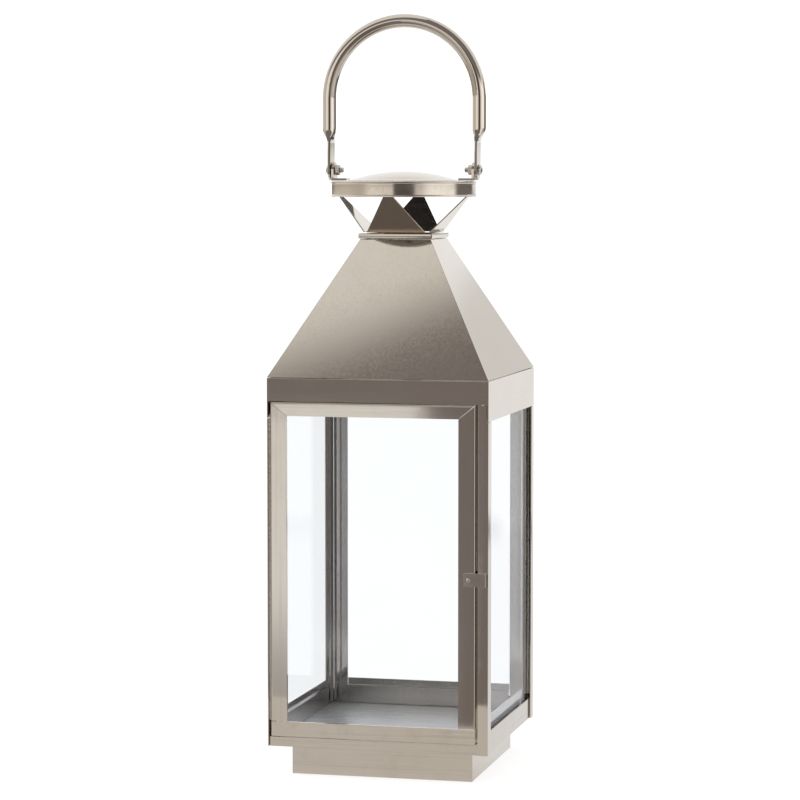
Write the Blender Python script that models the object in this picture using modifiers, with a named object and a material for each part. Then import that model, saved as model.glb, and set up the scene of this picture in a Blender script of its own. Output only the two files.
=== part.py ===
"""Candle lantern: folded sheet-steel body with glazed sides, a hinged glass door,
a hipped roof with a four-petal vent crown, a round cap and a swinging bail handle.

Units are metres, +Z is up, the door faces -Y and the origin is the middle of the
lantern's footprint on the surface that it stands on.
"""

import math

import bmesh
import bpy
from mathutils import Euler, Matrix, Vector

MM = 0.001

# ---- Driving dimensions -------------------------------------------------------
BODY = 85 * MM                 # half width of the square body
SHEET = 1.0 * MM               # sheet thickness of the folded parts
GAP = 0.3 * MM                 # air between two parts that touch

PLINTH = 70 * MM               # half width of the plinth under the body
PLINTH_FLANGE = 10 * MM        # inward flange along the plinth's foot and top
BODY_BOTTOM = 23 * MM
FRONT_RIM_TOP = 30.3 * MM      # low tray wall under the door
TRAY_RIM_TOP = 39.3 * MM       # tray wall on the three glazed sides
FLOOR_TOP = 29.3 * MM
SIDE_SKIRT_BOTTOM = 271.8 * MM
FRONT_SKIRT_BOTTOM = 284.5 * MM
SKIRT_TOP = 302 * MM
SKIRT_FLANGE = 7 * MM

POST_FRONT = 7.8 * MM          # front flange of the front right post
POST_SIDE = 11 * MM            # side flange of both front posts
POST_REAR = 9 * MM             # both flanges of the rear posts
STOP_DEPTH = 7.3 * MM          # from the body's front to the face that the door closes against
STOP_REACH = 3.4 * MM          # how far that face stands out from the post

PANE = 2.0 * MM                # glass thickness
PANE_TOP = 283.2 * MM
PANE_BOTTOM = FLOOR_TOP + GAP
FRONT_END = -76.2 * MM         # front end of side panes and strips: the door's corner swings past it

STRIP_STEP = 2.0 * MM          # height of a glazing strip's raised land over its lip
STRIP_RISER = 1.0 * MM
STRIP_LIP = 5.5 * MM           # width of the lip that holds the glass
REAR_STRIP_EDGE = 66 * MM      # inner edge of the rear wall's upright strips
SIDE_STRIP_REAR = 62 * MM      # inner edge of the side walls' rear upright strips
SIDE_STRIP_FRONT = -64.5 * MM  # inner edge of the side walls' front upright strips
LOW_STRIP_TOP = 49.5 * MM
HIGH_STRIP_BOTTOM = 271.8 * MM

ROOF_TOP = 405 * MM
NECK = 27.6 * MM               # half width of the roof's top edge
COLLAR = 28.8 * MM
COLLAR_HOLE = 23 * MM
COLLAR_HEIGHT = 4.0 * MM
PETAL_BASE = 45.5 * MM
PETAL_TIP = 2 * MM
PETAL_ROOT = 26 * MM           # how far a petal's foot stands from the middle
PETAL_TIP_Z = 441 * MM

CAP_RADIUS = 55.8 * MM
CAP_BOTTOM = 437 * MM
CAP_LAND = 449 * MM            # flat ring round the cap's dome
DOME_RADIUS = 43 * MM
DOME_TOP = 456.5 * MM
CAP_STEPS = 56

PIVOT_Z = 457.4 * MM
EAR_OUTSIDE = 56.1 * MM
EAR_THICK = 1.8 * MM
EAR_HALF = 6 * MM
EAR_FOOT = 44 * MM
SCREW_RADIUS = 2.0 * MM
SCREW_HEAD_RADIUS = 4.2 * MM

TUBE_RADIUS = 5.2 * MM         # handle tube
ARCH_RADIUS = 59 * MM          # centreline radius of the handle's arch
ARCH_Z = 512 * MM
STRAP_X = 57.7 * MM            # centreline of the flattened tube ends
STRAP_THICK = 2.2 * MM
STRAP_HALF = 8 * MM
STRAP_TOP = 478 * MM
TUBE_START = 489 * MM          # where the flattened end has become a round tube again

DOOR_LEFT = -82.7 * MM
DOOR_RIGHT = 75.3 * MM
DOOR_BOTTOM = 30.6 * MM
DOOR_TOP = 284.2 * MM
DOOR_FRONT = -BODY
DOOR_DEPTH = 7 * MM
STILE = 13 * MM
RAIL_TOP = 10.6 * MM
RAIL_BOTTOM = 11.6 * MM
RAIL_SWING = 0.7 * MM          # taken off the bottom rail's hinge end, so its corner clears the post
DOOR_LIP = 2.2 * MM            # inner return that backs onto the glass
DOOR_FOLD = 1.5 * MM           # outer radius of the fold round the door's edge
DOOR_GLASS_LAP = 5 * MM
HINGE_X = -79.4 * MM
HINGE_Y = -81.4 * MM
PIN_RADIUS = 1.0 * MM
BUSH_RADIUS = 2.1 * MM
BUSH_BORE = 1.1 * MM
BUSH_LENGTH = 7 * MM
HINGE_HOLE = 1.6 * MM

PULL_Z = 154.5 * MM            # middle of the door pull and its catch

# ---- Finishes: colour, roughness, metallic, see-through ---------------------------
POLISHED = ((0.72, 0.68, 0.64), 0.12, 1.0, 0.0)
BRUSHED = ((0.62, 0.61, 0.60), 0.32, 1.0, 0.0)
TUBE_FINISH = ((0.70, 0.65, 0.58), 0.15, 1.0, 0.0)
FASTENER = ((0.66, 0.65, 0.63), 0.25, 1.0, 0.0)
MAGNET = ((0.10, 0.10, 0.11), 0.45, 0.6, 0.0)
CLEAR = ((0.95, 0.98, 1.0), 0.02, 0.0, 1.0)

X_AXIS = Vector((1, 0, 0))
Y_AXIS = Vector((0, 1, 0))
Z_AXIS = Vector((0, 0, 1))


# ---- Scene, collections and materials -------------------------------------------
def start_scene():
    for old in list(bpy.data.objects):
        bpy.data.objects.remove(old)
    parts = bpy.data.collections.new("candle_lantern")
    cutters = bpy.data.collections.new("cutters")
    bpy.context.scene.collection.children.link(parts)
    bpy.context.scene.collection.children.link(cutters)
    return parts, cutters


PARTS, CUTTERS = start_scene()


def finish_material(name, finish):
    colour, roughness, metallic, clear = finish
    material = bpy.data.materials.new(name)
    material.use_nodes = True
    shader = material.node_tree.nodes["Principled BSDF"]
    shader.inputs["Base Color"].default_value = (*colour, 1.0)
    shader.inputs["Roughness"].default_value = roughness
    shader.inputs["Metallic"].default_value = metallic
    shader.inputs["Transmission Weight"].default_value = clear
    return material


def pivot(name, location):
    """An empty on a joint's axis, which the moving pieces are parented to."""
    empty = bpy.data.objects.new(name, None)
    empty.location = location
    PARTS.objects.link(empty)
    return empty


def add_part(name, mesh, location, finish, rotation=None, parent=None):
    part = bpy.data.objects.new(name, mesh)
    PARTS.objects.link(part)
    part.rotation_euler = rotation or Euler((0, 0, 0))
    part.location = Vector(location)
    if parent:
        part.parent = parent
        part.location = Vector(location) - parent.location
    mesh.materials.append(finish_material(name, finish))
    return part


def add_cutter(name, mesh, location, rotation=None):
    cutter = bpy.data.objects.new(name, mesh)
    CUTTERS.objects.link(cutter)
    cutter.location = location
    cutter.rotation_euler = rotation or Euler((0, 0, 0))
    cutter.hide_render = True
    cutter.display_type = "WIRE"
    return cutter


# ---- Meshes ----------------------------------------------------------------------
def box_mesh(size):
    mesh = bpy.data.meshes.new("box")
    work = bmesh.new()
    bmesh.ops.create_cube(work, size=1.0)
    bmesh.ops.scale(work, vec=size, verts=work.verts)
    work.to_mesh(mesh)
    work.free()
    return mesh


def cylinder_mesh(radius, length, sides=32):
    mesh = bpy.data.meshes.new("cylinder")
    work = bmesh.new()
    bmesh.ops.create_cone(work, cap_ends=True, segments=sides, radius1=radius, radius2=radius, depth=length)
    work.to_mesh(mesh)
    work.free()
    smooth_round(mesh)
    return mesh


def smooth_round(mesh):
    mesh.shade_smooth()
    mesh.set_sharp_from_angle(angle=math.radians(35))


def outline_mesh(points, thickness):
    """A flat outline in the local XY plane, extruded evenly to both sides of it."""
    curve = bpy.data.curves.new("outline", "CURVE")
    curve.dimensions = "2D"
    curve.fill_mode = "BOTH"
    curve.extrude = thickness / 2
    spline = curve.splines.new("POLY")
    spline.points.add(len(points) - 1)
    for point, (x, y) in zip(spline.points, points):
        point.co = (x, y, 0, 1)
    spline.use_cyclic_u = True
    drawn = bpy.data.objects.new("outline", curve)
    PARTS.objects.link(drawn)
    graph = bpy.context.evaluated_depsgraph_get()
    mesh = bpy.data.meshes.new_from_object(drawn.evaluated_get(graph))
    bpy.data.objects.remove(drawn)
    work = bmesh.new()
    work.from_mesh(mesh)
    bmesh.ops.remove_doubles(work, verts=work.verts, dist=0.00001)
    bmesh.ops.recalc_face_normals(work, faces=work.faces)
    work.to_mesh(mesh)
    work.free()
    return mesh


def arc(centre_x, centre_y, radius, start_deg, end_deg, steps):
    points = []
    for i in range(steps + 1):
        angle = math.radians(start_deg + (end_deg - start_deg) * i / steps)
        points.append((centre_x + radius * math.cos(angle), centre_y + radius * math.sin(angle)))
    return points


def profile_mesh(points):
    """An open profile in the local XZ plane for a Screw modifier."""
    mesh = bpy.data.meshes.new("profile")
    edges = [(i, i + 1) for i in range(len(points) - 1)]
    mesh.from_pydata([(x, 0, z) for x, z in points], edges, [])
    return mesh


# ---- Modifiers -------------------------------------------------------------------
def bevel(part, width, segments=2, angle=40):
    step = part.modifiers.new("Edge bevel", "BEVEL")
    step.width = width
    step.segments = segments
    step.limit_method = "ANGLE"
    step.angle_limit = math.radians(angle)
    step.harden_normals = False
    return step


def cut(part, cutter, operation="DIFFERENCE"):
    step = part.modifiers.new(operation.title(), "BOOLEAN")
    step.operation = operation
    step.solver = "EXACT"
    step.object = cutter
    return step


def turn(part, steps):
    screw = part.modifiers.new("Turn", "SCREW")
    screw.steps = steps
    screw.render_steps = steps
    screw.use_merge_vertices = True
    screw.merge_threshold = 0.00001
    screw.use_smooth_shade = True
    return screw


# ---- Shapes used more than once ---------------------------------------------------
def block(name, low, high, finish, parent=None, edge=0.0):
    """A rectangular piece between two world corners, with rounded edges."""
    low, high = Vector(low), Vector(high)
    part = add_part(name, box_mesh(high - low), (low + high) / 2, finish, parent=parent)
    if edge:
        bevel(part, edge)
    return part


def block_cutter(name, low, high):
    low, high = Vector(low), Vector(high)
    return add_cutter(name, box_mesh(high - low), (low + high) / 2)


def square_cutter(name, half, bottom, top):
    return block_cutter(name, (-half, -half, bottom), (half, half, top))


def hole_cutter(name, centre, radius, length, along):
    rotation = Z_AXIS.rotation_difference(along).to_euler()
    return add_cutter(name, cylinder_mesh(radius, length), centre, rotation)


def member(name, outline, length, centre, across, inward, finish, parent=None):
    """A folded strip: its outline runs in the across and inward directions."""
    along = across.cross(inward)
    rotation = Matrix((across, inward, along)).transposed().to_euler()
    return add_part(name, outline_mesh(outline, length), centre, finish, rotation, parent)


def turned(name, points, location, finish, steps=32, along=None, parent=None):
    """A turned piece: its profile runs down the outside, from the top to the bottom."""
    rotation = Z_AXIS.rotation_difference(along or Z_AXIS).to_euler()
    part = add_part(name, profile_mesh(points), location, finish, rotation, parent)
    turn(part, steps)
    return part


# ---- Base --------------------------------------------------------------------------
def build_plinth():
    top = BODY_BOTTOM - GAP
    plinth = block("plinth", (-PLINTH, -PLINTH, 0), (PLINTH, PLINTH, top), POLISHED, edge=0.5 * MM)
    hole = square_cutter("plinth_hole", PLINTH - PLINTH_FLANGE, -SHEET, top + SHEET)
    hollow = square_cutter("plinth_hollow", PLINTH - SHEET, SHEET, top - SHEET)
    cut(plinth, hole)
    cut(plinth, hollow)


def build_base_tray():
    half = BODY - SHEET - GAP
    low = (-half, -half, BODY_BOTTOM)
    tray = block("base_tray", low, (half, half, TRAY_RIM_TOP), POLISHED, edge=0.4 * MM)
    inside = half - SHEET
    cut(tray, square_cutter("tray_hollow", inside, BODY_BOTTOM + SHEET, TRAY_RIM_TOP + SHEET))
    doorway = block_cutter(
        "tray_doorway",
        (-inside, -BODY, FRONT_RIM_TOP),
        (inside, -inside + SHEET, TRAY_RIM_TOP + SHEET),
    )
    cut(tray, doorway)
    swing_room = block_cutter(
        "tray_swing_room",
        (-BODY, -BODY, FRONT_RIM_TOP),
        (-inside + SHEET, FRONT_END, TRAY_RIM_TOP + SHEET),
    )
    cut(tray, swing_room)


def build_floor_plate():
    half = BODY - 2 * SHEET - 2 * GAP
    bottom = BODY_BOTTOM + SHEET + GAP
    plate = block("floor_plate", (-half, -half, bottom), (half, half, FLOOR_TOP), BRUSHED, edge=0.4 * MM)
    cut(plate, square_cutter("floor_hollow", half - SHEET, bottom - SHEET, FLOOR_TOP - SHEET))


# ---- Posts and skirt -----------------------------------------------------------------
def angle_outline(width, depth):
    """An L section with its outer corner at the origin."""
    return [(0, 0), (width, 0), (width, SHEET), (SHEET, SHEET), (SHEET, depth), (0, depth)]


def build_posts():
    top = SIDE_SKIRT_BOTTOM - GAP
    length = top - BODY_BOTTOM
    middle = (top + BODY_BOTTOM) / 2
    for side, sign in (("left", -1), ("right", 1)):
        corner = (sign * BODY, BODY, middle)
        across, inward = Vector((-sign, 0, 0)), Vector((0, -1, 0))
        outline = angle_outline(POST_REAR, POST_REAR)
        member(f"post_rear_{side}", outline, length, corner, across, inward, POLISHED)

    front_top = FRONT_SKIRT_BOTTOM - GAP
    stop_outline = [
        (0, 0),
        (POST_FRONT, 0),
        (POST_FRONT, STOP_DEPTH),
        (POST_FRONT + STOP_REACH, STOP_DEPTH),
        (POST_FRONT + STOP_REACH, STOP_DEPTH + SHEET),
        (POST_FRONT - SHEET, STOP_DEPTH + SHEET),
        (POST_FRONT - SHEET, SHEET),
        (SHEET, SHEET),
        (SHEET, POST_SIDE),
        (0, POST_SIDE),
    ]
    right = member(
        "post_front_right",
        stop_outline,
        front_top - BODY_BOTTOM,
        (BODY, -BODY, (front_top + BODY_BOTTOM) / 2),
        Vector((-1, 0, 0)),
        Y_AXIS,
        POLISHED,
    )
    above_side_flange = block_cutter(
        "post_notch",
        (BODY - SHEET - GAP, -BODY - SHEET, top),
        (BODY + SHEET, -BODY + POST_SIDE + SHEET, front_top + SHEET),
    )
    cut(right, above_side_flange)
    over_tray_rim = block_cutter(
        "stop_foot",
        (BODY - POST_FRONT - 2 * STOP_REACH, -BODY + SHEET, BODY_BOTTOM - SHEET),
        (BODY - POST_FRONT + 2 * SHEET, -BODY + POST_SIDE, FRONT_RIM_TOP + GAP),
    )
    cut(right, over_tray_rim)

    low = (-BODY, -BODY, BODY_BOTTOM)
    block("post_front_left", low, (-BODY + SHEET, -BODY + POST_SIDE, top), POLISHED, edge=0.25 * MM)


def build_skirt():
    low = (-BODY, -BODY, SIDE_SKIRT_BOTTOM)
    skirt = block("roof_skirt", low, (BODY, BODY, SKIRT_TOP), POLISHED, edge=0.4 * MM)
    inside = BODY - SHEET
    cut(skirt, square_cutter("skirt_hollow", inside, SIDE_SKIRT_BOTTOM - SHEET, SKIRT_TOP - SHEET))
    hole = square_cutter("skirt_hole", BODY - SKIRT_FLANGE, SIDE_SKIRT_BOTTOM, SKIRT_TOP + SHEET)
    cut(skirt, hole)
    doorway = block_cutter(
        "skirt_doorway",
        (-inside, -BODY - SHEET, SIDE_SKIRT_BOTTOM - SHEET),
        (inside, -inside + SHEET, FRONT_SKIRT_BOTTOM),
    )
    cut(skirt, doorway)


# ---- Glazing -------------------------------------------------------------------------
def build_panes():
    face = BODY - 2 * SHEET - 2 * GAP
    back = face - PANE
    ends = back - GAP
    for side, sign in (("left", -1), ("right", 1)):
        near, far = sorted((sign * back, sign * face))
        low = (near, FRONT_END, PANE_BOTTOM)
        block(f"glass_{side}", low, (far, ends, PANE_TOP), CLEAR, edge=0.2 * MM)
    low = (-face + 2 * GAP, back, PANE_BOTTOM)
    block("glass_rear", low, (face - 2 * GAP, face, PANE_TOP), CLEAR, edge=0.2 * MM)


def strip_outline(width):
    """A stepped section: raised land, riser, then the lip that bears on the glass."""
    riser = width - STRIP_LIP
    return [
        (0, STRIP_STEP),
        (riser - STRIP_RISER, STRIP_STEP),
        (riser - STRIP_RISER, 0),
        (width, 0),
        (width, SHEET),
        (riser, SHEET),
        (riser, STRIP_STEP + SHEET),
        (0, STRIP_STEP + SHEET),
    ]


def build_glazing_strips():
    """Four stepped strips hold each pane: two uprights, and two rails between them."""
    face = BODY - 2 * SHEET - 3 * GAP - PANE
    upright_length = PANE_TOP - PANE_BOTTOM
    upright_middle = (PANE_TOP + PANE_BOTTOM) / 2
    land_face = face - STRIP_STEP - SHEET
    side_rear_end = face - GAP
    rear_end = land_face - GAP

    def upright(name, wall_point, across, inward, width):
        spot = (wall_point[0], wall_point[1], upright_middle)
        member(name, strip_outline(width), upright_length, spot, across, inward, POLISHED)

    def rails(wall, centre, inward, length):
        low = Vector((centre[0], centre[1], PANE_BOTTOM))
        high = Vector((centre[0], centre[1], PANE_TOP))
        low_outline = strip_outline(LOW_STRIP_TOP - PANE_BOTTOM)
        high_outline = strip_outline(PANE_TOP - HIGH_STRIP_BOTTOM)
        member(f"strip_{wall}_bottom", low_outline, length, low, Z_AXIS, inward, POLISHED)
        member(f"strip_{wall}_top", high_outline, length, high, -Z_AXIS, inward, POLISHED)

    for side, sign in (("left", -1), ("right", 1)):
        inward = Vector((-sign, 0, 0))
        wall = sign * face
        upright(f"strip_{side}_front", (wall, FRONT_END), Y_AXIS, inward, SIDE_STRIP_FRONT - FRONT_END)
        upright(f"strip_{side}_rear", (wall, side_rear_end), -Y_AXIS, inward, side_rear_end - SIDE_STRIP_REAR)
        front, rear = SIDE_STRIP_FRONT + GAP, SIDE_STRIP_REAR - GAP
        rails(side, (wall, (front + rear) / 2), inward, rear - front)

        across = Vector((-sign, 0, 0))
        width = rear_end - REAR_STRIP_EDGE
        upright(f"strip_rear_{side}", (sign * rear_end, face), across, -Y_AXIS, width)
    rails("rear", (0, face), -Y_AXIS, 2 * (REAR_STRIP_EDGE - GAP))


# ---- Roof, vent crown and cap ----------------------------------------------------------
def build_roof():
    bottom = SKIRT_TOP + GAP
    mesh = bpy.data.meshes.new("roof")
    work = bmesh.new()
    bmesh.ops.create_cone(
        work,
        cap_ends=False,
        segments=4,
        radius1=BODY * math.sqrt(2),
        radius2=NECK * math.sqrt(2),
        depth=ROOF_TOP - bottom,
        matrix=Matrix.Rotation(math.radians(45), 4, "Z"),
    )
    work.to_mesh(mesh)
    work.free()
    roof = add_part("roof_shell", mesh, (0, 0, (ROOF_TOP + bottom) / 2), POLISHED)
    shell = roof.modifiers.new("Sheet", "SOLIDIFY")
    shell.thickness = SHEET
    shell.offset = -1
    shell.use_even_offset = True
    cut(roof, square_cutter("roof_foot", BODY + SHEET, bottom - 3 * SHEET, bottom))


def build_collar():
    bottom = ROOF_TOP + GAP
    top = bottom + COLLAR_HEIGHT
    collar = block("neck_collar", (-COLLAR, -COLLAR, bottom), (COLLAR, COLLAR, top), POLISHED, edge=0.8 * MM)
    cut(collar, square_cutter("collar_hole", COLLAR_HOLE, bottom - SHEET, top + SHEET))


def build_petals():
    """Four leaning triangles stand on the collar and carry the cap on their tips."""
    foot_z = ROOF_TOP + COLLAR_HEIGHT + 3 * GAP
    reach = CAP_RADIUS - SHEET - 2.5 * GAP - PETAL_ROOT
    rise = PETAL_TIP_Z - foot_z
    lean = math.atan2(reach, rise)
    length = math.hypot(reach, rise)
    outline = [
        (-PETAL_BASE / 2, 0),
        (PETAL_BASE / 2, 0),
        (PETAL_TIP / 2, length),
        (-PETAL_TIP / 2, length),
    ]
    for name, quarter in (("front", 0), ("right", 1), ("rear", 2), ("left", 3)):
        spin = Matrix.Rotation(math.radians(90) * quarter, 3, "Z")
        outward = spin @ Vector((0, -1, 0))
        across = spin @ X_AXIS
        up = (outward * math.sin(lean) + Z_AXIS * math.cos(lean)).normalized()
        facing = across.cross(up)
        rotation = Matrix((across, up, facing)).transposed().to_euler()
        spot = outward * PETAL_ROOT + Z_AXIS * foot_z - facing * SHEET / 2
        add_part(f"vent_petal_{name}", outline_mesh(outline, SHEET), spot, POLISHED, rotation)


def dome_height(radius):
    """Height of the cap's outer surface: a shallow spherical dome, then a flat land."""
    if radius >= DOME_RADIUS:
        return CAP_LAND
    rise = DOME_TOP - CAP_LAND
    sphere = (DOME_RADIUS ** 2 + rise ** 2) / (2 * rise)
    return math.sqrt(sphere ** 2 - radius ** 2) - sphere + DOME_TOP


def build_cap():
    """The cap is a turned pan: dome, flat land, rolled top edge, rim and hemmed foot."""
    roll = 1.1 * MM
    hem = 0.6 * MM
    wall = CAP_RADIUS - 0.5 * MM
    radii = [DOME_RADIUS * i / 8 for i in range(9)]
    outside = [(r, dome_height(r)) for r in radii]
    outside.append((CAP_RADIUS - roll, CAP_LAND))
    outside += arc(CAP_RADIUS - roll, CAP_LAND - roll, roll, 60, -60, 4)
    outside.append((wall, CAP_LAND - 2.4 * roll))
    outside.append((wall, CAP_BOTTOM + 3 * hem))
    outside += arc(CAP_RADIUS - hem, CAP_BOTTOM + hem, hem, 60, -90, 4)
    inner_wall = wall - SHEET
    inside = [(inner_wall, CAP_BOTTOM), (inner_wall, CAP_LAND - SHEET)]
    inside += [(r, dome_height(r) - SHEET) for r in reversed(radii)]
    turned("cap", outside + inside, (0, 0, 0), POLISHED, steps=CAP_STEPS)


# ---- Handle ----------------------------------------------------------------------------
def rounded_plate(half, bottom, crown_z, steps=8):
    """A plate outline that ends in a half circle round (0, crown_z)."""
    return [(-half, bottom), (half, bottom)] + arc(0, crown_z, half, 0, 180, steps)


def build_ears():
    """Angle brackets on the cap's flat land, which the handle's ends pivot against."""
    foot_bottom = CAP_LAND + GAP
    for side, sign in (("left", -1), ("right", 1)):
        across, up = Vector((0, sign, 0)), Z_AXIS
        facing = across.cross(up)
        rotation = Matrix((across, up, facing)).transposed().to_euler()
        outline = rounded_plate(EAR_HALF, foot_bottom - PIVOT_Z, 0)
        spot = (sign * (EAR_OUTSIDE - EAR_THICK / 2), 0, PIVOT_Z)
        ear = add_part(f"handle_ear_{side}", outline_mesh(outline, EAR_THICK), spot, POLISHED, rotation)
        near, far = sorted((sign * EAR_FOOT, sign * (EAR_OUTSIDE - EAR_THICK / 2)))
        foot = block_cutter(
            f"ear_foot_{side}",
            (near, -EAR_HALF, foot_bottom),
            (far, EAR_HALF, foot_bottom + EAR_THICK),
        )
        cut(ear, foot, "UNION")
        hole = hole_cutter(f"ear_hole_{side}", spot, SCREW_RADIUS + 0.1 * MM, 4 * EAR_THICK, X_AXIS)
        cut(ear, hole)


def build_pivot_screws():
    """A domed screw through each flattened handle end and ear, with a nut inside."""
    strap_outside = STRAP_X + STRAP_THICK / 2
    shank_end = EAR_OUTSIDE - EAR_THICK - 6.5 * MM
    head_height = 2.6 * MM
    head_base = strap_outside + GAP
    for side, sign in (("left", -1), ("right", 1)):
        outward = Vector((sign, 0, 0))
        dome = [(0, head_base + head_height)]
        for i in range(1, 6):
            angle = math.radians(90 - 15 * i)
            dome.append((SCREW_HEAD_RADIUS * math.cos(angle), head_base + head_height * math.sin(angle)))
        dome.append((SCREW_HEAD_RADIUS, head_base))
        shank = [(SCREW_RADIUS, head_base), (SCREW_RADIUS, shank_end + 0.5 * MM)]
        shank += [(SCREW_RADIUS - 0.5 * MM, shank_end), (0, shank_end)]
        turned(f"pivot_screw_{side}", dome + shank, (0, 0, PIVOT_Z), FASTENER, 24, outward)

        nut_height = 3.2 * MM
        nut_centre = sign * (EAR_OUTSIDE - EAR_THICK - GAP - nut_height / 2)
        hexagon = arc(0, 0, 4.0 * MM, 0, 300, 5)
        rotation = Z_AXIS.rotation_difference(outward).to_euler()
        spot = (nut_centre, 0, PIVOT_Z)
        nut = add_part(f"pivot_nut_{side}", outline_mesh(hexagon, nut_height), spot, FASTENER, rotation)
        hole = hole_cutter(f"nut_hole_{side}", spot, SCREW_RADIUS + 0.1 * MM, 2 * nut_height, X_AXIS)
        cut(nut, hole)


def handle_station(fraction):
    """Centre, travel direction and flatness along half of the handle, foot to crown."""
    foot = PIVOT_Z
    straight = ARCH_Z - foot
    length = straight + ARCH_RADIUS * math.pi / 2
    travelled = fraction * length
    if travelled <= straight:
        z = foot + travelled
        flat = min(1.0, max(0.0, (TUBE_START - z) / (TUBE_START - STRAP_TOP)))
        flat = flat * flat * (3 - 2 * flat)
        x = STRAP_X + (ARCH_RADIUS - STRAP_X) * (1 - flat)
        return Vector((x, 0, z)), Z_AXIS, flat
    angle = (travelled - straight) / ARCH_RADIUS
    centre = Vector((ARCH_RADIUS * math.cos(angle), 0, ARCH_Z + ARCH_RADIUS * math.sin(angle)))
    return centre, Vector((-math.sin(angle), 0, math.cos(angle))), 0.0


def handle_rings(sides):
    """Closed sections from the right foot's round end over the arch to the left foot."""
    flat_count, blend_count, arch_count = 3, 7, 18
    straight = ARCH_Z - PIVOT_Z
    length = straight + ARCH_RADIUS * math.pi / 2
    heights = [(STRAP_TOP - PIVOT_Z) * i / flat_count for i in range(flat_count)]
    heights += [
        STRAP_TOP - PIVOT_Z + (TUBE_START - STRAP_TOP) * i / blend_count for i in range(blend_count + 1)
    ]
    heights += [straight + (length - straight) * i / arch_count for i in range(arch_count + 1)]
    half = []
    for degrees in (78, 60, 40, 20):
        angle = math.radians(degrees)
        centre = Vector((STRAP_X, 0, PIVOT_Z - STRAP_HALF * math.sin(angle)))
        across = Z_AXIS.cross(Y_AXIS)
        half.append(section(centre, across, STRAP_THICK / 2, STRAP_HALF * math.cos(angle), 1.0, sides))
    for height in heights:
        centre, travel, flat = handle_station(height / length)
        across = travel.cross(Y_AXIS)
        thick = TUBE_RADIUS + (STRAP_THICK / 2 - TUBE_RADIUS) * flat
        wide = TUBE_RADIUS + (STRAP_HALF - TUBE_RADIUS) * flat
        half.append(section(centre, across, thick, wide, flat, sides))
    mirrored = []
    for ring in reversed(half[:-1]):
        mirrored.append([Vector((-point.x, point.y, point.z)) for point in ring])
    return half + mirrored


def section(centre, across, thick, wide, flat, sides):
    """An ellipse that squares up into a flat bar as the tube is pressed flat."""
    power = 1.0 - 0.75 * flat
    ring = []
    for k in range(sides):
        angle = math.tau * k / sides
        c, s = math.cos(angle), math.sin(angle)
        out = math.copysign(abs(c) ** power, c) if abs(c) > 1e-9 else 0.0
        side = math.copysign(abs(s) ** (1.0 - 0.35 * flat), s) if abs(s) > 1e-9 else 0.0
        ring.append(centre + across * (thick * out) + Y_AXIS * (wide * side))
    return ring


def build_handle(handle_pivot):
    sides = 20
    rings = handle_rings(sides)
    mesh = bpy.data.meshes.new("handle")
    work = bmesh.new()
    rows = [[work.verts.new(point - handle_pivot.location) for point in ring] for ring in rings]
    for first, second in zip(rows, rows[1:]):
        for k in range(sides):
            after = (k + 1) % sides
            work.faces.new((first[k], first[after], second[after], second[k]))
    work.faces.new(rows[0])
    work.faces.new(rows[-1])
    bmesh.ops.recalc_face_normals(work, faces=work.faces)
    work.to_mesh(mesh)
    work.free()
    smooth_round(mesh)
    handle = add_part("handle", mesh, handle_pivot.location, TUBE_FINISH, parent=handle_pivot)
    for side, sign in (("left", -1), ("right", 1)):
        spot = (sign * STRAP_X, 0, PIVOT_Z)
        hole = hole_cutter(f"handle_hole_{side}", spot, SCREW_RADIUS + 0.3 * MM, 4 * STRAP_THICK, X_AXIS)
        cut(handle, hole)


# ---- Door ------------------------------------------------------------------------------
def channel_outline(width):
    """A door member: face, deep outer return, shallow inner lip against the glass."""
    fold = arc(DOOR_FOLD, DOOR_FOLD, DOOR_FOLD, 180, 270, 4)
    return fold + [
        (width, 0),
        (width, DOOR_LIP),
        (width - SHEET, DOOR_LIP),
        (width - SHEET, SHEET),
        (SHEET, SHEET),
        (SHEET, DOOR_DEPTH),
        (0, DOOR_DEPTH),
    ]


def mitre(mesh, plane_point, plane_normal):
    """Cuts a member's end along a plane and closes the cut."""
    work = bmesh.new()
    work.from_mesh(mesh)
    everything = list(work.verts) + list(work.edges) + list(work.faces)
    sliced = bmesh.ops.bisect_plane(
        work, geom=everything, plane_co=plane_point, plane_no=plane_normal, clear_outer=True
    )
    rim = [item for item in sliced["geom_cut"] if isinstance(item, bmesh.types.BMEdge)]
    bmesh.ops.contextual_create(work, geom=rim)
    bmesh.ops.recalc_face_normals(work, faces=work.faces)
    work.to_mesh(mesh)
    work.free()


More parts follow.
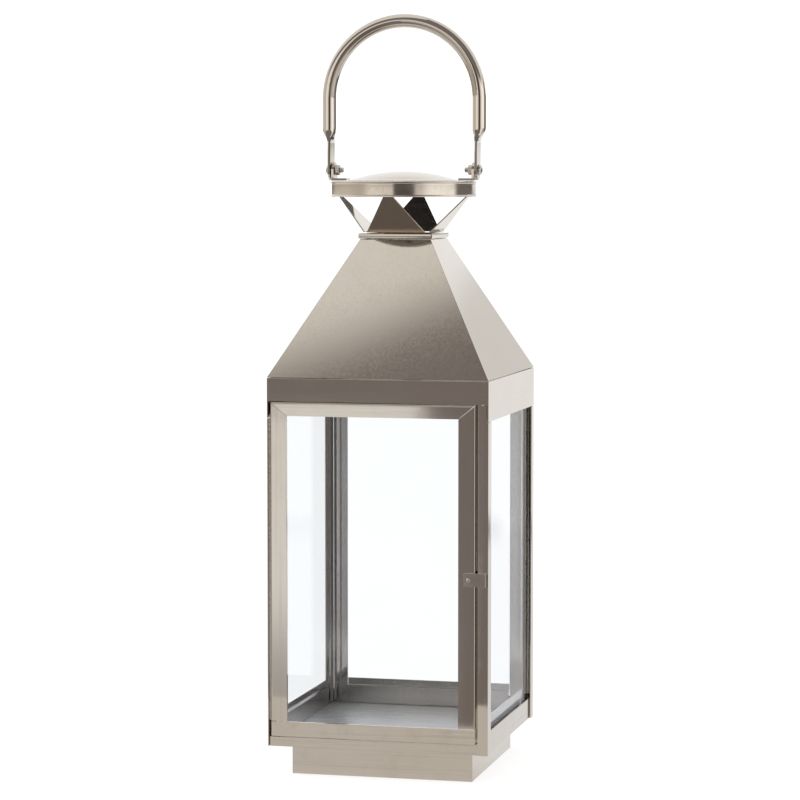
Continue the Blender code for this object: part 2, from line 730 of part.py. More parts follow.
def build_door_frame(hinge):
    """Four channels, mitred at the top and butted on the full-width rail at the bottom.

    The members' own frames run across, inward and along.
    """
    wide = DOOR_RIGHT - DOOR_LEFT
    tall = DOOR_TOP - DOOR_BOTTOM
    middle_x = (DOOR_LEFT + DOOR_RIGHT) / 2
    middle_z = (DOOR_TOP + DOOR_BOTTOM) / 2
    members = (
        ("door_stile_left", STILE, tall, (DOOR_LEFT, DOOR_FRONT, middle_z), X_AXIS, (RAIL_BOTTOM, RAIL_TOP)),
        ("door_stile_right", STILE, tall, (DOOR_RIGHT, DOOR_FRONT, middle_z), -X_AXIS, (RAIL_TOP, RAIL_BOTTOM)),
        ("door_rail_bottom", RAIL_BOTTOM, wide, (middle_x, DOOR_FRONT, DOOR_BOTTOM), Z_AXIS, (STILE, STILE)),
        ("door_rail_top", RAIL_TOP, wide, (middle_x, DOOR_FRONT, DOOR_TOP), -Z_AXIS, (STILE, STILE)),
    )
    frame = {}
    for name, width, length, centre, across, neighbours in members:
        outline = channel_outline(width)
        part = member(name, outline, length, centre, across, Y_AXIS, POLISHED, parent=hinge)
        frame[name] = part
        if name == "door_rail_bottom":
            mitre(part.data, Vector((0, 0, length / 2 - RAIL_SWING)), Z_AXIS)
            continue
        for end, neighbour in zip((-1, 1), neighbours):
            point = Vector((0, 0, end * (length / 2 - GAP / 2)))
            slope = Vector((neighbour, 0, end * width)).normalized()
            if neighbour == RAIL_BOTTOM:
                point = Vector((0, 0, end * (length / 2 - RAIL_BOTTOM - GAP)))
                slope = Vector((0, 0, end))
            mitre(part.data, point, slope)
    for name, z in (("door_rail_bottom", DOOR_BOTTOM), ("door_rail_top", DOOR_TOP)):
        hole = hole_cutter(f"{name}_hole", (HINGE_X, HINGE_Y, z), HINGE_HOLE, 8 * SHEET, Z_AXIS)
        cut(frame[name], hole)


def build_door_glass(hinge):
    face = DOOR_FRONT + DOOR_LIP + GAP
    low = (DOOR_LEFT + STILE - DOOR_GLASS_LAP, face, DOOR_BOTTOM + RAIL_BOTTOM - DOOR_GLASS_LAP)
    high = (DOOR_RIGHT - STILE + DOOR_GLASS_LAP, face + PANE, DOOR_TOP - RAIL_TOP + DOOR_GLASS_LAP)
    block("door_glass", low, high, CLEAR, parent=hinge, edge=0.2 * MM)

    clip_front = face + PANE + GAP
    clip_height = 8 * MM
    clip_reach = 9.5 * MM
    outer_left = DOOR_LEFT + SHEET + GAP
    outer_right = DOOR_RIGHT - SHEET - GAP
    spans = {"left": (outer_left, outer_left + clip_reach), "right": (outer_right - clip_reach, outer_right)}
    for level, bottom in (("lower", DOOR_BOTTOM + 18 * MM), ("upper", DOOR_TOP - 26 * MM)):
        for side, (near, far) in spans.items():
            low = (near, clip_front, bottom)
            high = (far, clip_front + 0.8 * MM, bottom + clip_height)
            block(f"glass_clip_{level}_{side}", low, high, FASTENER, parent=hinge, edge=0.2 * MM)


def build_door_hinges(hinge):
    """Two pins on one upright axis turn in bushes inside the hinge stile."""
    lower_bush = DOOR_BOTTOM + SHEET + GAP + BUSH_LENGTH / 2
    upper_bush = DOOR_TOP - SHEET - GAP - BUSH_LENGTH / 2
    for level, z in (("lower", lower_bush), ("upper", upper_bush)):
        spot = (HINGE_X, HINGE_Y, z)
        tube = cylinder_mesh(BUSH_RADIUS, BUSH_LENGTH, 28)
        bush = add_part(f"hinge_bush_{level}", tube, spot, FASTENER, parent=hinge)
        cut(bush, hole_cutter(f"hinge_bore_{level}", spot, BUSH_BORE, 2 * BUSH_LENGTH, Z_AXIS))

    foot_radius = 2.6 * MM
    foot_height = 0.6 * MM
    foot_z = FLOOR_TOP + GAP
    pin_top = lower_bush + BUSH_LENGTH / 2 + GAP
    lower_pin = [(0, pin_top), (PIN_RADIUS, pin_top), (PIN_RADIUS, foot_z + foot_height)]
    lower_pin += [(foot_radius, foot_z + foot_height), (foot_radius, foot_z), (0, foot_z)]
    pin = turned("hinge_pin_lower", lower_pin, (HINGE_X, HINGE_Y, 0), FASTENER, 28)
    rim_face = -(BODY - 2 * SHEET - 2 * GAP)
    low = (HINGE_X - 2 * foot_radius, rim_face - foot_radius, foot_z - SHEET)
    cut(pin, block_cutter("pin_foot_flat", low, (HINGE_X + 2 * foot_radius, rim_face, foot_z + SHEET)))

    bracket_bottom = DOOR_TOP + 2 * GAP
    bracket_top = bracket_bottom + 1.2 * MM
    bracket_edge = BODY - SHEET - GAP
    low = (-bracket_edge, -bracket_edge, bracket_bottom)
    bracket = block("hinge_bracket", low, (-70 * MM, -76.5 * MM, bracket_top), FASTENER, edge=0.2 * MM)
    hole = hole_cutter("bracket_hole", (HINGE_X, HINGE_Y, bracket_top), PIN_RADIUS + 0.2 * MM, 8 * MM, Z_AXIS)
    cut(bracket, hole)
    head_bottom = bracket_top + GAP
    head_top = head_bottom + 1.2 * MM
    pin_bottom = upper_bush - BUSH_LENGTH / 2 - GAP
    upper_pin = [(0, head_top), (foot_radius, head_top), (foot_radius, head_bottom)]
    upper_pin += [(PIN_RADIUS, head_bottom), (PIN_RADIUS, pin_bottom), (0, pin_bottom)]
    turned("hinge_pin_upper", upper_pin, (HINGE_X, HINGE_Y, 0), FASTENER, 28)


def build_door_catch(hinge):
    """A curled pull tab in front of the right post, and a magnetic catch behind it."""
    tab_half = 5 * MM
    tab_left, tab_right = 66.5 * MM, 84.3 * MM
    tab_back = DOOR_FRONT - GAP
    tab_front = tab_back - 0.9 * MM
    curl = 0.9 * MM
    outline = [(tab_left, tab_back), (tab_left, tab_front)]
    outline += [(tab_right - 2 * curl, tab_front), (tab_right - 2 * curl, tab_front - curl)]
    outline += arc(tab_right - curl, tab_front - curl, curl, 180, 0, 6)[1:]
    outline += [(tab_right, tab_back)]
    member("door_pull", outline, 2 * tab_half, (0, 0, PULL_Z), X_AXIS, Y_AXIS, POLISHED, parent=hinge)

    rivet = [(0, 0.8 * MM), (0.9 * MM, 0.65 * MM), (1.5 * MM, 0)]
    rivet += [(0, 0)]
    spot = (70 * MM, tab_front - GAP, PULL_Z)
    turned("pull_rivet", rivet, spot, FASTENER, 20, Vector((0, -1, 0)), parent=hinge)

    strike_back = DOOR_FRONT + DOOR_DEPTH
    low = (DOOR_RIGHT - STILE + GAP, strike_back - 1.1 * MM, PULL_Z - 9 * MM)
    high = (DOOR_RIGHT - SHEET - GAP, strike_back - 0.1 * MM, PULL_Z + 9 * MM)
    block("door_strike", low, high, FASTENER, parent=hinge, edge=0.2 * MM)

    front = strike_back + GAP
    back = front + 5.5 * MM
    low, high = PULL_Z - 6 * MM, PULL_Z + 6 * MM
    magnet_right = 73.4 * MM
    strip_face = BODY - 2 * SHEET - 3 * GAP - PANE - STRIP_STEP - SHEET
    block("catch_magnet", (64.5 * MM, front, low), (magnet_right, back, high), MAGNET, edge=0.4 * MM)
    holder_low = (magnet_right + GAP, -BODY + STOP_DEPTH + SHEET + GAP, low)
    block("catch_holder", holder_low, (strip_face - GAP, back, high), FASTENER, edge=0.3 * MM)


def main():
    build_plinth()
    build_base_tray()
    build_floor_plate()
    build_posts()
    build_skirt()
    build_panes()
    build_glazing_strips()
    build_roof()
    build_collar()
    build_petals()
    build_cap()
    build_ears()
    build_pivot_screws()
    build_handle(pivot("handle_pivot", Vector((0, 0, PIVOT_Z))))
    hinge = pivot("door_hinge", Vector((HINGE_X, HINGE_Y, DOOR_BOTTOM)))
    build_door_frame(hinge)
    build_door_glass(hinge)
    build_door_hinges(hinge)
    build_door_catch(hinge)
    bpy.context.view_layer.update()


main()
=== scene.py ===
"""Candle lantern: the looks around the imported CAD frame, its studio and its camera."""

import math

import bpy
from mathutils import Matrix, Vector

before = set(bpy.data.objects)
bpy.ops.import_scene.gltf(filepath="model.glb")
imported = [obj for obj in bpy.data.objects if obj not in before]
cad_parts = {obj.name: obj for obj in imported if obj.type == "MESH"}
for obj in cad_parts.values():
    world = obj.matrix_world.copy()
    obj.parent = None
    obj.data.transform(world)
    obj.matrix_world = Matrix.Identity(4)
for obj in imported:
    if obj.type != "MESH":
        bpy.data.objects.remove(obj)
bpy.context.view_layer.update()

MM = 0.001
NICKEL = (0.655, 0.605, 0.535)


# ---- Node helpers ----------------------------------------------------------------
def put(tree, socket, value):
    """Links a socket to its input, or sets the input's own value."""
    if isinstance(value, bpy.types.NodeSocket):
        tree.links.new(value, socket)
    else:
        socket.default_value = value


def node(tree, kind, inputs=None, **settings):
    """Adds a node, sets its properties, and fills its inputs."""
    made = tree.nodes.new(kind)
    for key, value in settings.items():
        setattr(made, key, value)
    for key, value in (inputs or {}).items():
        put(tree, made.inputs[key], value)
    return made


def calc(tree, operation, *values, clamp=False):
    numbered = dict(enumerate(values))
    return node(tree, "ShaderNodeMath", numbered, operation=operation, use_clamp=clamp).outputs[0]


def ease(tree, value, start, end, low=0.0, high=1.0):
    """A smooth step of value from start to end."""
    inputs = {"Value": value, "From Min": start, "From Max": end, "To Min": low, "To Max": high}
    if start > end:
        inputs.update({"From Min": end, "From Max": start, "To Min": high, "To Max": low})
    return node(tree, "ShaderNodeMapRange", inputs, interpolation_type="SMOOTHSTEP").outputs[0]


def blend_colour(tree, share, first, second):
    made = tree.nodes.new("ShaderNodeMix")
    made.data_type = "RGBA"
    put(tree, made.inputs[0], share)
    for socket, value in ((made.inputs[6], first), (made.inputs[7], second)):
        if not isinstance(value, bpy.types.NodeSocket):
            value = tuple(value) + (1.0,) * (4 - len(value))
        put(tree, socket, value)
    return made.outputs[2]


def ramp(tree, value, stops):
    made = node(tree, "ShaderNodeValToRGB", {0: value})
    made.color_ramp.interpolation = "EASE"
    elements = made.color_ramp.elements
    while len(elements) < len(stops):
        elements.new(0.5)
    for element, stop in zip(elements, stops):
        element.position = stop[0]
    for element, stop in zip(elements, stops):
        element.color = (*stop[1], 1.0)
    return made.outputs[0]


def new_material(name):
    material = bpy.data.materials.new(name)
    material.use_nodes = True
    material.node_tree.nodes.clear()
    return material, material.node_tree


def noise(tree, where, scale, detail=2.0, roughness=0.5):
    inputs = {"Vector": where, "Scale": scale, "Detail": detail, "Roughness": roughness}
    return node(tree, "ShaderNodeTexNoise", inputs, noise_dimensions="3D").outputs[0]


# ---- Materials ----------------------------------------------------------------------
# Noise scales are per metre. Every value here was matched to the photo.
MARKS_SCALE = 55.0             # handling marks
SPECKS_SCALE = 420.0           # fine specks
TINT = (0.975, 0.955, 0.92)    # the warm tint that comes and goes along a sheet
DULLING = 0.62                 # brightness of lines, specks and marks, against clean metal
CAP_INNER = (0.0550, 0.0547)   # the cap's inside ends at this radius
CAP_UNDER = (0.4482, 0.4478)   # and below this height
# painted light: the cap's inside gets a paler colour, so its reflection in the roof reads lighter
CAP_INSIDE_PAINTED_LIGHT = (0.88, 0.87, 0.85)
CAP_INSIDE_ROUGH = 0.5
PAINTED_SHADE_CENTRE = (0, 0.019, 0)    # painted shade, set back, where it darkens the rear petal's reflection: a guess
# size, colour and roughness of the painted shade patch under the cap
PAINTED_SHADE_RADIUS = (0.044, 0.038)
PAINTED_SHADE_COLOUR = (0.12, 0.115, 0.12)
PAINTED_SHADE_ROUGH = 0.45


def distance_from_axis(tree, where, centre):
    """How far a point is from an upright line through centre."""
    moved = node(tree, "ShaderNodeVectorMath", {0: where, 1: centre}, operation="SUBTRACT")
    flat = {0: moved.outputs[0], 1: (1, 1, 0)}
    flat = node(tree, "ShaderNodeVectorMath", flat, operation="MULTIPLY").outputs[0]
    return node(tree, "ShaderNodeVectorMath", {0: flat}, operation="LENGTH").outputs["Value"]


def paint_cap_light_and_shade(tree, where, face, broad, base, roughness):
    """Painted light inside the cap as a paler colour, and painted shade as a dark patch on its underside.
    """
    down = node(tree, "ShaderNodeSeparateXYZ", {0: face}).outputs[2]
    height = node(tree, "ShaderNodeSeparateXYZ", {0: where}).outputs[2]
    from_axis = distance_from_axis(tree, where, (0, 0, 0))
    # painted light: a paler colour inside the cap
    painted_light_share = calc(tree, "MULTIPLY", ease(tree, from_axis, *CAP_INNER), ease(tree, height, *CAP_UNDER))
    base = blend_colour(tree, painted_light_share, base, CAP_INSIDE_PAINTED_LIGHT)
    roughness = calc(tree, "MULTIPLY_ADD", painted_light_share, CAP_INSIDE_ROUGH, roughness, clamp=True)
    # painted shade: a dark patch on the cap's underside, with a ragged edge
    radius = calc(tree, "MULTIPLY_ADD", broad, 0.006, distance_from_axis(tree, where, PAINTED_SHADE_CENTRE))
    facing_down = ease(tree, down, -0.3, -0.6)
    painted_shade = calc(tree, "MULTIPLY", facing_down, ease(tree, radius, *PAINTED_SHADE_RADIUS))
    base = blend_colour(tree, painted_shade, base, PAINTED_SHADE_COLOUR)
    return base, calc(tree, "MULTIPLY_ADD", painted_shade, PAINTED_SHADE_ROUGH, roughness, clamp=True)


def steel(name, colour=NICKEL, rough=0.07, grain=(60, 60, 60), grain_depth=0.0, wave=9.0,
          wave_depth=0.00012, smudge=0.05, lean=(0, 0, 0), lines=0.05, cap_light_and_shade=False, metallic=1.0):
    """Sheet metal, slightly wavy, with fine lines, specks, handling marks and a faint tint.

    grain stretches the fine lines: the axis with the smallest scale is their long way. lean is added
    to the shading normal, so a flat sheet mirrors the tone the photo shows. The shape doesn't change.
    """
    material, tree = new_material(name)
    where = node(tree, "ShaderNodeTexCoord").outputs["Object"]
    broad = noise(tree, where, wave, 1.0)
    marks = noise(tree, where, MARKS_SCALE, 5.0, 0.62)
    specks = noise(tree, where, SPECKS_SCALE, 3.0, 0.7)
    streaked = node(tree, "ShaderNodeMapping", {"Vector": where, "Scale": grain}).outputs[0]
    grains = noise(tree, streaked, 1.0, 4.0, 0.7)

    tint = tuple(c * f for c, f in zip(colour, TINT))
    base = blend_colour(tree, ease(tree, broad, 0.35, 0.75), colour, tint)
    dull = tuple(c * DULLING for c in colour)
    base = blend_colour(tree, ease(tree, grains, 0.45, 0.8, 0.0, 4 * lines), base, dull)
    base = blend_colour(tree, ease(tree, specks, 0.70, 0.78, 0.0, 0.30), base, dull)
    base = blend_colour(tree, ease(tree, marks, 0.46, 0.74, 0.0, 2 * smudge), base, dull)
    handled = ease(tree, marks, 0.5, 0.78, 0.0, smudge)
    worn = ease(tree, grains, 0.3, 0.8, -0.25 * rough, 0.35 * rough)
    roughness = calc(tree, "ADD", calc(tree, "ADD", handled, worn), rough, clamp=True)

    face = node(tree, "ShaderNodeNewGeometry").outputs["Normal"]
    # paints light and shade under the cap: a paler inside and a dark patch
    if cap_light_and_shade:
        base, roughness = paint_cap_light_and_shade(tree, where, face, broad, base, roughness)
    normal = face
    if any(lean):
        tilted = node(tree, "ShaderNodeVectorMath", {0: normal, 1: lean}, operation="ADD").outputs[0]
        normal = node(tree, "ShaderNodeVectorMath", {0: tilted}, operation="NORMALIZE").outputs[0]
    wavy = {"Strength": 1.0, "Distance": wave_depth, "Height": broad, "Normal": normal}
    normal = node(tree, "ShaderNodeBump", wavy).outputs[0]
    if grain_depth:
        fine = {"Strength": 1.0, "Distance": grain_depth, "Height": grains, "Normal": normal}
        normal = node(tree, "ShaderNodeBump", fine).outputs[0]
    surface = {"Base Color": base, "Metallic": metallic, "Roughness": roughness, "Normal": normal}
    shader = node(tree, "ShaderNodeBsdfPrincipled", surface)
    node(tree, "ShaderNodeOutputMaterial", {"Surface": shader.outputs[0]})
    return material


GLASS_CLEAN = (0.940, 0.950, 0.960)
GLASS_SMEARED = (0.934, 0.946, 0.957)
GLASS_SHADOW = (0.93, 0.96, 0.97, 1)
GLASS_IOR = 1.09               # well under real glass, to keep the panes as clear as the photo's


def clear_glass(name):
    """A clear pane: a faint cool tint, wiped smears, and lamps shine through it."""
    material, tree = new_material(name)
    where = node(tree, "ShaderNodeTexCoord").outputs["Object"]
    smears = noise(tree, where, 30.0, 4.0)
    roll = noise(tree, where, 14.0, 1.0)
    tint = blend_colour(tree, ease(tree, smears, 0.4, 0.75), GLASS_CLEAN, GLASS_SMEARED)
    normal = node(tree, "ShaderNodeBump", {"Strength": 0.6, "Distance": 0.00002, "Height": roll})
    inputs = {"Base Color": tint, "Roughness": 0.0, "IOR": GLASS_IOR, "Transmission Weight": 1.0}
    inputs["Normal"] = normal.outputs[0]
    glass = node(tree, "ShaderNodeBsdfPrincipled", inputs).outputs[0]
    open_to_lamps = node(tree, "ShaderNodeBsdfTransparent", {"Color": GLASS_SHADOW}).outputs[0]
    lamp_ray = node(tree, "ShaderNodeLightPath").outputs["Is Shadow Ray"]
    mixed = node(tree, "ShaderNodeMixShader", {0: lamp_ray, 1: glass, 2: open_to_lamps})
    node(tree, "ShaderNodeOutputMaterial", {"Surface": mixed.outputs[0]})
    return material


def ferrite(name):
    """Dark sintered magnet with a granular face."""
    material, tree = new_material(name)
    where = node(tree, "ShaderNodeTexCoord").outputs["Object"]
    grit = noise(tree, where, 900.0, 3.0)
    colour = blend_colour(tree, grit, (0.035, 0.034, 0.036), (0.085, 0.082, 0.080))
    normal = node(tree, "ShaderNodeBump", {"Strength": 0.5, "Distance": 0.00005, "Height": grit})
    inputs = {"Base Color": colour, "Roughness": 0.55, "Normal": normal.outputs[0]}
    shader = node(tree, "ShaderNodeBsdfPrincipled", inputs)
    node(tree, "ShaderNodeOutputMaterial", {"Surface": shader.outputs[0]})
    return material


# ---- Carried-over CAD nodes -----------------------------------------------------------
SHARP_EDGE = math.radians(32)      # folds flatter than this shade as one smooth bend
FLAT_ENOUGH = math.radians(0.3)    # CAD triangles this close to one plane are joined
FOLD_EDGE = math.radians(35)       # edges sharper than this get a rounded fold
FOLD_SEGMENTS = 2


def shading_group():
    """Smooth shading inside folds, sharp lines at real edges, without the imported flat normals."""
    group = bpy.data.node_groups.new("fold_shading", "GeometryNodeTree")
    group.interface.new_socket("Geometry", in_out="INPUT", socket_type="NodeSocketGeometry")
    group.interface.new_socket("Geometry", in_out="OUTPUT", socket_type="NodeSocketGeometry")
    start = node(group, "NodeGroupInput").outputs[0]
    bare = node(group, "GeometryNodeRemoveAttribute", {"Geometry": start, "Name": "custom_normal"})
    smooth = node(group, "GeometryNodeSetShadeSmooth", {"Geometry": bare.outputs[0], "Shade Smooth": True})
    angle = node(group, "GeometryNodeInputMeshEdgeAngle").outputs[0]
    sharp = node(group, "FunctionNodeCompare", {0: angle, 1: SHARP_EDGE}, operation="GREATER_THAN")
    settings = {"Geometry": smooth.outputs[0], "Selection": sharp.outputs[0], "Shade Smooth": False}
    edges = node(group, "GeometryNodeSetShadeSmooth", settings, domain="EDGE")
    node(group, "NodeGroupOutput", {0: edges.outputs[0]})
    return group


SHADING = shading_group()


def dress(name, material, edge, turned):
    """Gives a CAD node its finish, with folded-metal edges in place of knife edges."""
    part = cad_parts[name]
    for place in part.material_slots:
        place.material = material
    weld = part.modifiers.new("Weld", "WELD")
    weld.merge_threshold = 0.002 * MM
    if not turned:
        flat = part.modifiers.new("Planes", "DECIMATE")
        flat.decimate_type = "DISSOLVE"
        flat.angle_limit = FLAT_ENOUGH
    if edge:
        fold = part.modifiers.new("Folds", "BEVEL")
        fold.width = edge
        fold.segments = FOLD_SEGMENTS
        fold.limit_method = "ANGLE"
        fold.angle_limit = FOLD_EDGE
        fold.harden_normals = False
    shade = part.modifiers.new("Shading", "NODES")
    shade.node_group = SHADING
    level = part.modifiers.new("Flat faces", "WEIGHTED_NORMAL")
    level.mode = "FACE_AREA_WITH_ANGLE" if turned else "FACE_AREA"
    level.weight = 50 if turned else 100
    level.keep_sharp = True


# ---- Camera, floor and studio -----------------------------------------------------------
# The camera was fitted to the photo with the plan taken as square and no lens shift.
CAMERA_PLACE = (0.5467, -2.2225, 0.4513)
CAMERA_AIM = Vector((-0.23947, 0.96806, -0.07433))
LENS_MM = 134.06


def make_camera():
    lens = bpy.data.cameras.new("camera")
    lens.lens = LENS_MM
    lens.sensor_width = 36.0
    lens.clip_start, lens.clip_end = 0.05, 60.0
    camera = bpy.data.objects.new("camera", lens)
    bpy.context.scene.collection.objects.link(camera)
    camera.location = CAMERA_PLACE
    camera.rotation_mode = "QUATERNION"
    camera.rotation_quaternion = CAMERA_AIM.to_track_quat("-Z", "Y")
    bpy.context.scene.camera = camera


FLOOR_FRONT = -0.42            # mirrors see the pale floor up to here, and the dark studio past it
FLOOR_REACH = 1.5
FLOOR_HALF = 9.0
FLOOR_DROP = -0.0002           # just under the plinth's foot, so the two faces don't meet
FLOOR_PAPER = (0.93, 0.93, 0.925, 1)
FLOOR_GLOW = 1.1               # keeps the paper near white, as in the photo
GLOW_SHARE = 0.72
MIRRORED_FRONT = (0.70, 0.675, 0.65)
MIRRORED_REAR = (0.86, 0.86, 0.87)


def make_floor():
    """Pale paper to the camera. Mirrors see a toned patch of it that ends in front of the lantern."""
    mesh = bpy.data.meshes.new("floor")
    half = FLOOR_HALF
    corners = [(-half, -half, 0), (half, -half, 0), (half, half, 0), (-half, half, 0)]
    mesh.from_pydata(corners, [], [(0, 1, 2, 3)])
    floor = bpy.data.objects.new("floor", mesh)
    floor.location.z = FLOOR_DROP
    bpy.context.scene.collection.objects.link(floor)
    material, tree = new_material("studio_floor")
    where = node(tree, "ShaderNodeTexCoord").outputs["Object"]
    y = node(tree, "ShaderNodeSeparateXYZ", {0: where}).outputs[1]
    matt = node(tree, "ShaderNodeBsdfDiffuse", {"Color": FLOOR_PAPER}).outputs[0]
    glow = node(tree, "ShaderNodeEmission", {"Color": (1, 1, 1, 1), "Strength": FLOOR_GLOW}).outputs[0]
    paper = node(tree, "ShaderNodeMixShader", {0: GLOW_SHARE, 1: matt, 2: glow}).outputs[0]
    rear = ease(tree, y, -0.12, 0.05)
    tone = blend_colour(tree, rear, MIRRORED_FRONT, MIRRORED_REAR)
    seen = node(tree, "ShaderNodeEmission", {"Color": tone}).outputs[0]
    gone = node(tree, "ShaderNodeBsdfTransparent").outputs[0]
    far = ease(tree, y, FLOOR_FRONT + 0.004, FLOOR_FRONT - 0.004)
    reach = node(tree, "ShaderNodeVectorMath", {0: where}, operation="LENGTH").outputs["Value"]
    far = calc(tree, "MAXIMUM", far, ease(tree, reach, FLOOR_REACH - 0.2, FLOOR_REACH + 0.2))
    mirrored = node(tree, "ShaderNodeMixShader", {0: far, 1: seen, 2: gone}).outputs[0]
    path = node(tree, "ShaderNodeLightPath")
    bounced = calc(tree, "GREATER_THAN", path.outputs["Glossy Depth"], 0.5)
    mixed = node(tree, "ShaderNodeMixShader", {0: bounced, 1: paper, 2: mirrored})
    node(tree, "ShaderNodeOutputMaterial", {"Surface": mixed.outputs[0]})
    mesh.materials.append(material)


# What mirrors see round the lantern: pairs of a bearing in degrees, 0 towards the front, and a colour.
TAUPE = (0.229, 0.204, 0.200)
SKY_LOW = (0.97, 0.97, 0.98)
SKY_HIGH = (0.93, 0.915, 0.895)
REAR_GLOW = (1.06, 1.07, 1.08)
ROOF_WINDOW = (0.79, 0.78, 0.77)
CARD = (0.95, 0.95, 0.955)
LOW_REAR_SHADE = (0.09, 0.085, 0.085)
OPEN_WHITE = (1.22, 1.22, 1.22)    # what the camera sees, straight or through a pane
HORIZON = (
    (-180, (1.0, 1.0, 1.0)), (-163, (1.0, 1.0, 1.0)), (-153, (0.20, 0.175, 0.16)),
    (-140, (0.22, 0.19, 0.17)), (-124, (0.46, 0.39, 0.31)), (-60, (0.57, 0.51, 0.45)),
    (-46, (0.48, 0.435, 0.395)), (-26, (0.27, 0.245, 0.235)), (-16, TAUPE), (-11, TAUPE),
    (0, (0.16, 0.145, 0.14)), (14, (0.16, 0.145, 0.14)), (40, (0.48, 0.45, 0.42)),
    (54, (0.70, 0.67, 0.64)), (80, (0.82, 0.80, 0.78)), (97, (0.66, 0.64, 0.62)),
    (113, (0.20, 0.18, 0.17)), (151, (0.12, 0.11, 0.105)), (158, (0.99, 0.99, 1.0)),
    (180, (1.0, 1.0, 1.0)),
)
ABOVE_HORIZON = (
    (-180, (0.60, 0.58, 0.56)), (-166, (0.87, 0.83, 0.79)), (-100, (0.84, 0.79, 0.73)),
    (-60, (0.66, 0.61, 0.55)), (-38, (1.15, 1.10, 1.04)), (-6, (1.0, 0.95, 0.90)),
    (0, (0.10, 0.09, 0.085)), (27, (0.10, 0.09, 0.085)), (35, (0.80, 0.78, 0.75)),
    (60, (1.38, 1.35, 1.30)), (98, (1.38, 1.35, 1.30)), (110, (0.20, 0.18, 0.17)),
    (150, (0.22, 0.20, 0.19)), (165, (0.45, 0.44, 0.43)), (180, (0.60, 0.58, 0.56)),
)


def make_studio():
    """White to the camera. Mirrors see a studio: white above and behind, taupe and cards in front."""
    world = bpy.data.worlds.new("studio")
    bpy.context.scene.world = world
    world.use_nodes = True
    tree = world.node_tree
    tree.nodes.clear()
    towards = node(tree, "ShaderNodeTexCoord").outputs["Generated"]
    apart = node(tree, "ShaderNodeSeparateXYZ", {0: towards})
    x, y, z = apart.outputs[0], apart.outputs[1], apart.outputs[2]
    turn = calc(tree, "DEGREES", calc(tree, "ARCTAN2", x, calc(tree, "MULTIPLY", y, -1.0)))
    rise = calc(tree, "DEGREES", calc(tree, "ARCSINE", z))

    def window(left, right, low, high, soft, soft_rise):
        """A soft-edged patch between two bearings and two rises, in degrees."""
        share = calc(tree, "MULTIPLY", ease(tree, turn, left - soft, left + soft),
                     ease(tree, turn, right + soft, right - soft))
        share = calc(tree, "MULTIPLY", share, ease(tree, rise, low - soft_rise, low + soft_rise))
        return calc(tree, "MULTIPLY", share, ease(tree, rise, high + soft_rise, high - soft_rise))

    sky = blend_colour(tree, ease(tree, rise, 12, 70), SKY_LOW, SKY_HIGH)
    slant = calc(tree, "SUBTRACT", rise, calc(tree, "MULTIPLY", turn, 0.55))
    in_front = calc(tree, "MULTIPLY", ease(tree, turn, -95, -70), ease(tree, turn, 95, 70))
    in_front = calc(tree, "MULTIPLY", in_front, ease(tree, slant, 67.2, 65.3))
    sky = blend_colour(tree, in_front, sky, TAUPE)

    around = calc(tree, "MULTIPLY_ADD", turn, 1 / 360, 0.5)
    ring, upper_ring = (
        ramp(tree, around, [((place + 180) / 360, colour) for place, colour in stops])
        for stops in (HORIZON, ABOVE_HORIZON)
    )
    ring = blend_colour(tree, ease(tree, rise, 0.2, 0.6), ring, upper_ring)
    sky = blend_colour(tree, ease(tree, rise, 20, 9), sky, ring)
    behind = calc(tree, "MAXIMUM", ease(tree, turn, 132, 144), ease(tree, turn, -132, -144))
    behind = calc(tree, "MULTIPLY", behind, ease(tree, rise, 2.5, 4.5))
    behind = calc(tree, "MULTIPLY", behind, ease(tree, rise, 34, 26))
    sky = blend_colour(tree, behind, sky, REAR_GLOW)
    sky = blend_colour(tree, window(160, 176, 5, 9.7, 0.8, 0.35), sky, ROOF_WINDOW)
    card = window(-34, -13.47, -20, -4.26, 0.12, 0.1)
    sky = blend_colour(tree, card, sky, CARD)
    fading = calc(tree, "MULTIPLY", card, ease(tree, rise, -7.6, -9.8, 0.0, 0.58))
    sky = blend_colour(tree, fading, sky, TAUPE)
    low_rear = window(150, 168.05, -9.9, -6.6, 0.12, 0.3)
    sky = blend_colour(tree, low_rear, sky, LOW_REAR_SHADE)

    path = node(tree, "ShaderNodeLightPath")
    mirrored = calc(tree, "GREATER_THAN", path.outputs["Glossy Depth"], 0.5)
    scattered = calc(tree, "GREATER_THAN", path.outputs["Diffuse Depth"], 0.5)
    mirrored = calc(tree, "MULTIPLY", mirrored, calc(tree, "SUBTRACT", 1.0, scattered))
    seen = blend_colour(tree, mirrored, OPEN_WHITE, sky)
    shader = node(tree, "ShaderNodeBackground", {"Color": seen, "Strength": 1.0})
    node(tree, "ShaderNodeOutputWorld", {"Surface": shader.outputs[0]})


LAMP_PLACE = (-1.3, -1.0, 2.0)
LAMP_AIM = Vector((0, 0, 0.2))
LAMP_SIZE = (1.6, 1.2)
LAMP_WATTS = 9.0


def make_lamp():
    """One broad soft lamp, high on the left, that the mirrors don't show."""
    light = bpy.data.lights.new("soft_lamp", "AREA")
    light.shape = "RECTANGLE"
    light.size, light.size_y = LAMP_SIZE
    light.energy = LAMP_WATTS
    lamp = bpy.data.objects.new("soft_lamp", light)
    bpy.context.scene.collection.objects.link(lamp)
    lamp.location = LAMP_PLACE
    lamp.rotation_mode = "QUATERNION"
    lamp.rotation_quaternion = (LAMP_AIM - lamp.location).to_track_quat("-Z", "Y")
    lamp.visible_glossy = False
    lamp.visible_camera = False


make_camera()
make_floor()
make_studio()
make_lamp()

scene = bpy.context.scene
scene.view_settings.view_transform = "Standard"

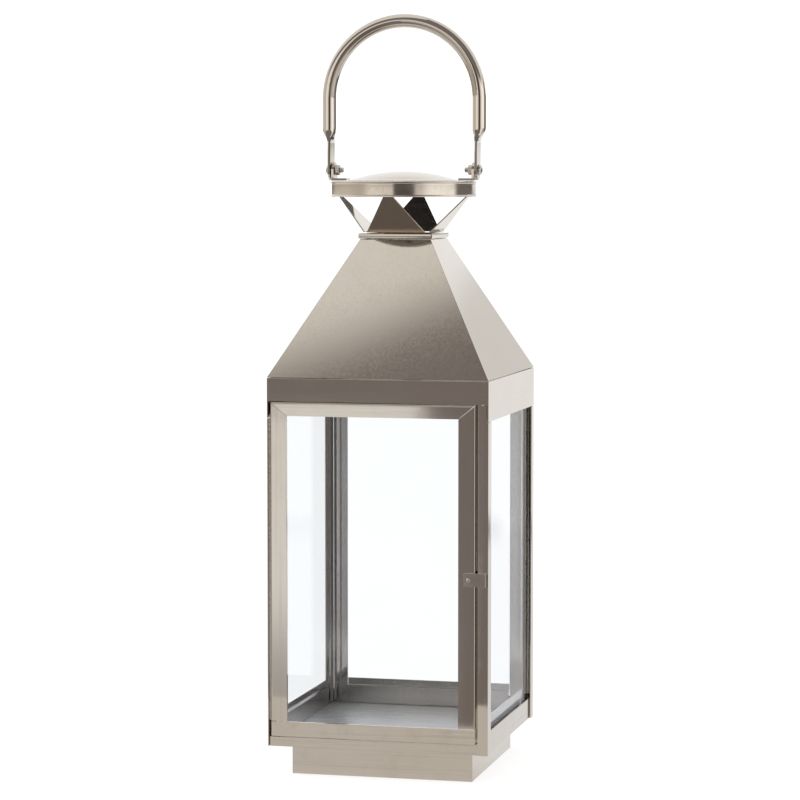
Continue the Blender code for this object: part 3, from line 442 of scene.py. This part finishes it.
# ---- Finishes on the carried-over nodes ---------------------------------------------------
UPRIGHT = (420, 420, 9)        # grain scales for fine lines that run up a part
LEVEL = (9, 9, 700)            # and for lines that run along it
post_steel = steel("post_steel", rough=0.05, grain=UPRIGHT, grain_depth=0.0000006, wave=8.0,
                   wave_depth=0.00008, smudge=0.03)
mirror_steel = steel("mirror_steel", rough=0.055, wave=8.0, wave_depth=0.00010, smudge=0.03)
base_steel = steel("base_steel", rough=0.08, lines=0.1, grain=LEVEL, grain_depth=0.0000012, wave=8.0,
                   wave_depth=0.00010, smudge=0.07)
roof_steel = steel("roof_steel", rough=0.065, grain=(500, 500, 500), wave=7.0, wave_depth=0.00006,
                   smudge=0.012, lines=0.0)
# the cap's finish has painted light inside it and a patch of painted shade under it
cap_steel = steel("cap_steel", rough=0.13, grain=(300, 300, 300), lines=0.02, wave=10.0,
                  wave_depth=0.00010, smudge=0.02, cap_light_and_shade=True)
stile_steel = steel("stile_steel", rough=0.045, grain=UPRIGHT, grain_depth=0.0000005, wave=8.0,
                    wave_depth=0.00006, smudge=0.03)
closing_steel = steel("closing_steel", rough=0.06, grain=UPRIGHT, grain_depth=0.0000006, wave=8.0,
                      wave_depth=0.00008, smudge=0.03, lean=(0, 0, 0.028))
head_steel = steel("head_steel", rough=0.045, grain=LEVEL, grain_depth=0.0000004, wave=8.0,
                   wave_depth=0.00006, smudge=0.03, lean=(0, 0, -0.013))
sill_steel = steel("sill_steel", rough=0.10, lines=0.1, grain=LEVEL, grain_depth=0.0000016, wave=8.0,
                   wave_depth=0.00008, smudge=0.10)
fascia_steel = steel("fascia_steel", rough=0.07, grain=LEVEL, grain_depth=0.0000005, wave=10.0,
                     wave_depth=0.0001, smudge=0.02, lean=(0, 0, 0.010))
pull_steel = steel("pull_steel", rough=0.06, wave=60.0, wave_depth=0.00003, lean=(0, 0, 0.02))
inner_steel = steel("inner_steel", colour=(0.60, 0.59, 0.58), rough=0.14, grain=UPRIGHT,
                    grain_depth=0.000002, wave=12.0, wave_depth=0.0002, smudge=0.05)
plate_steel = steel("plate_steel", colour=(0.52, 0.525, 0.535), rough=0.32, grain=(3, 800, 800),
                    grain_depth=0.000005, smudge=0.05, lines=0.12, metallic=0.65)
tube_steel = steel("tube_steel", rough=0.035, grain=(300, 300, 300), wave=20.0, wave_depth=0.00002,
                   smudge=0.02, lines=0.02)
screw_steel = steel("screw_steel", colour=(0.60, 0.58, 0.55), rough=0.22, wave=90.0,
                    wave_depth=0.00003, smudge=0.1)
pane_glass = clear_glass("pane_glass")
magnet_ferrite = ferrite("magnet_ferrite")

# Each node's finish, and the width in millimetres of the rounded fold along its edges.
FOLDED = {
    "plinth": (base_steel, 0.0), "base_tray": (base_steel, 0.0), "floor_plate": (plate_steel, 0.0),
    "post_rear_left": (post_steel, 0.35), "post_rear_right": (post_steel, 0.35),
    "post_front_right": (post_steel, 0.25), "post_front_left": (post_steel, 0.0),
    "roof_skirt": (fascia_steel, 0.0), "roof_shell": (roof_steel, 0.3), "neck_collar": (roof_steel, 0.0),
    "cap": (cap_steel, 0.0), "handle": (tube_steel, 0.0),
    "door_stile_left": (stile_steel, 0.06), "door_stile_right": (closing_steel, 0.0),
    "door_rail_bottom": (sill_steel, 0.06), "door_rail_top": (head_steel, 0.0),
    "door_pull": (pull_steel, 0.12), "door_strike": (screw_steel, 0.0),
    "hinge_bracket": (screw_steel, 0.0), "catch_holder": (screw_steel, 0.0),
    "catch_magnet": (magnet_ferrite, 0.0),
    "handle_ear_left": (mirror_steel, 0.0), "handle_ear_right": (mirror_steel, 0.0),
}
TURNED = ("cap", "handle", "pivot_screw_left", "pivot_screw_right", "pull_rivet")
for quarter in ("front", "right", "rear", "left"):
    FOLDED[f"vent_petal_{quarter}"] = (mirror_steel, 0.2)
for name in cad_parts:
    if name.startswith("strip_"):
        FOLDED[name] = (inner_steel, 0.25)
    elif name.startswith(("glass_left", "glass_right", "glass_rear", "door_glass")):
        FOLDED[name] = (pane_glass, 0.0)
    elif name not in FOLDED:
        FOLDED[name] = (screw_steel, 0.0)
for name, (material, edge) in FOLDED.items():
    dress(name, material, edge * MM, turned=name in TURNED)
